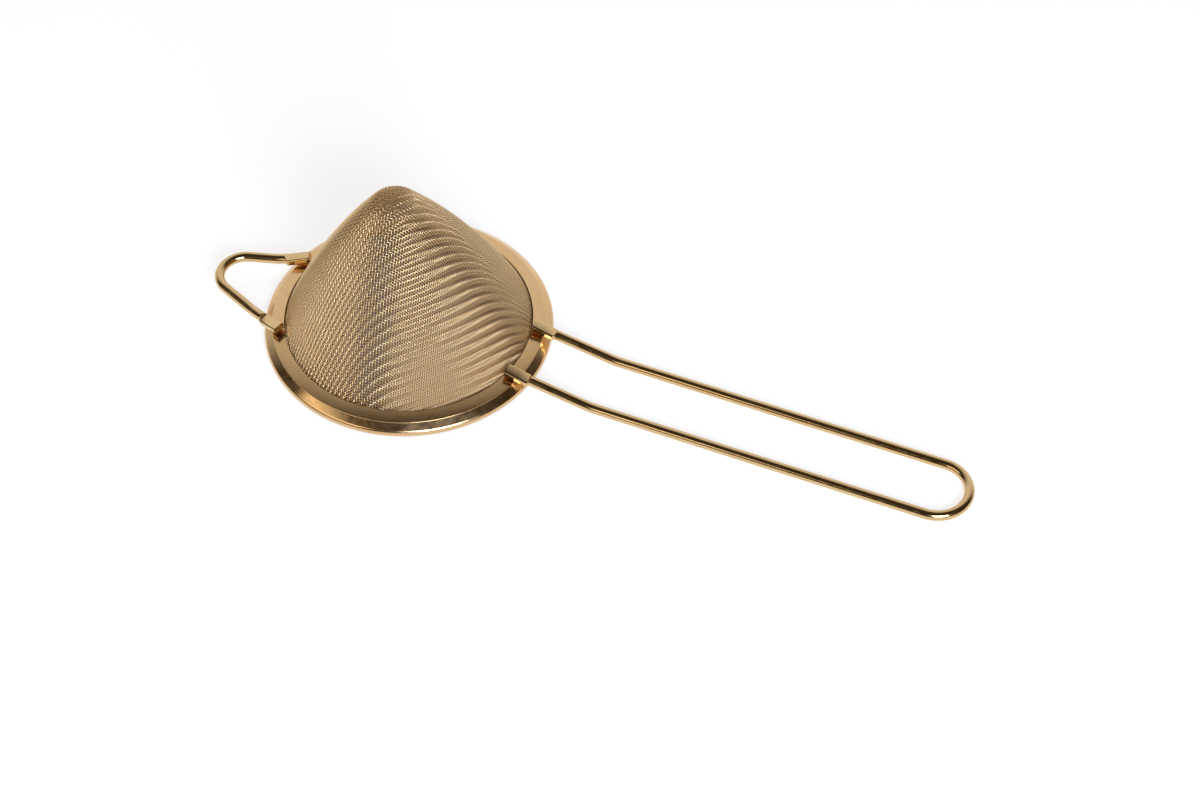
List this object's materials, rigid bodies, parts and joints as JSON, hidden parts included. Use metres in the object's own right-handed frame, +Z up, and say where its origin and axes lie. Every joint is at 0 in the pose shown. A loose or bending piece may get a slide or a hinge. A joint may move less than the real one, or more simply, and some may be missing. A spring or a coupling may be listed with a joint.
{
  "type": "cocktail strainer",
  "caption": "Conical fine-mesh strainer with a round sheet-metal rim, a long looped wire handle and a small wire rest loop opposite, for straining mixed drinks into a glass.",
  "frame": {"origin": "on the table, under the middle of the part's bounding box, with the strainer lying mouth down", "axes": "+X from the rest loop along the handle to its tip, +Z up from the mouth to the cone's apex"},
  "size_m": [0.2318, 0.084, 0.0532],
  "materials": {
    "rim": "polished gold-toned plating on sheet",
    "wire": "polished gold-toned plating on round wire",
    "wire_cloth": "gold-toned woven wire"
  },
  "bodies": {
    "root": {"rim_base_ring": "rim", "rim_cover_ring": "rim", "mesh_cone": "wire_cloth", "handle_wire": "wire", "rest_loop_wire": "wire"}
  },
  "joints": []
}
